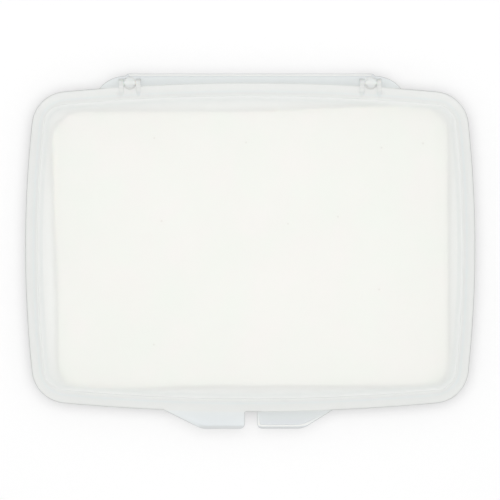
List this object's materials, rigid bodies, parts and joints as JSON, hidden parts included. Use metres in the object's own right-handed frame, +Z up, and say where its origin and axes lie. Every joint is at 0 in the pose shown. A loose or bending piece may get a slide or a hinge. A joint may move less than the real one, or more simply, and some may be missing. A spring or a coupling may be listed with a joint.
{
  "type": "wet palette",
  "caption": "Hinged, frosted see-through snap box holding a damp foam sheet and palette paper, with offset front pull tabs and a rear hinge shelf.",
  "frame": {"origin": "under the middle of the whole outline, on the surface that the tray stands on", "axes": "+X to the right along the hinge, +Y towards the hinge, +Z up through the lid"},
  "size_m": [0.23, 0.1816, 0.0266],
  "materials": {
    "tray_plastic": "frosted, see-through",
    "lid_plastic": "frosted, see-through",
    "seal": "soft, milky silicone",
    "pin_plastic": "natural nylon",
    "foam": "fine open-cell foam",
    "paper": "smooth, matte"
  },
  "bodies": {
    "tray": {"base_tray": "tray_plastic", "hinge_pin_left": "pin_plastic", "hinge_pin_right": "pin_plastic", "sponge": "foam", "palette_paper": "paper"},
    "cover": {"lid": "lid_plastic", "seal_ring": "seal"}
  },
  "joints": [
    {"name": "lid_hinge", "type": "hinge", "parent": "tray", "child": "cover", "pos_m": [0, 0.08595, 0.0135], "axis": [-1, 0, 0], "range_deg": [0, 180]}
  ]
}
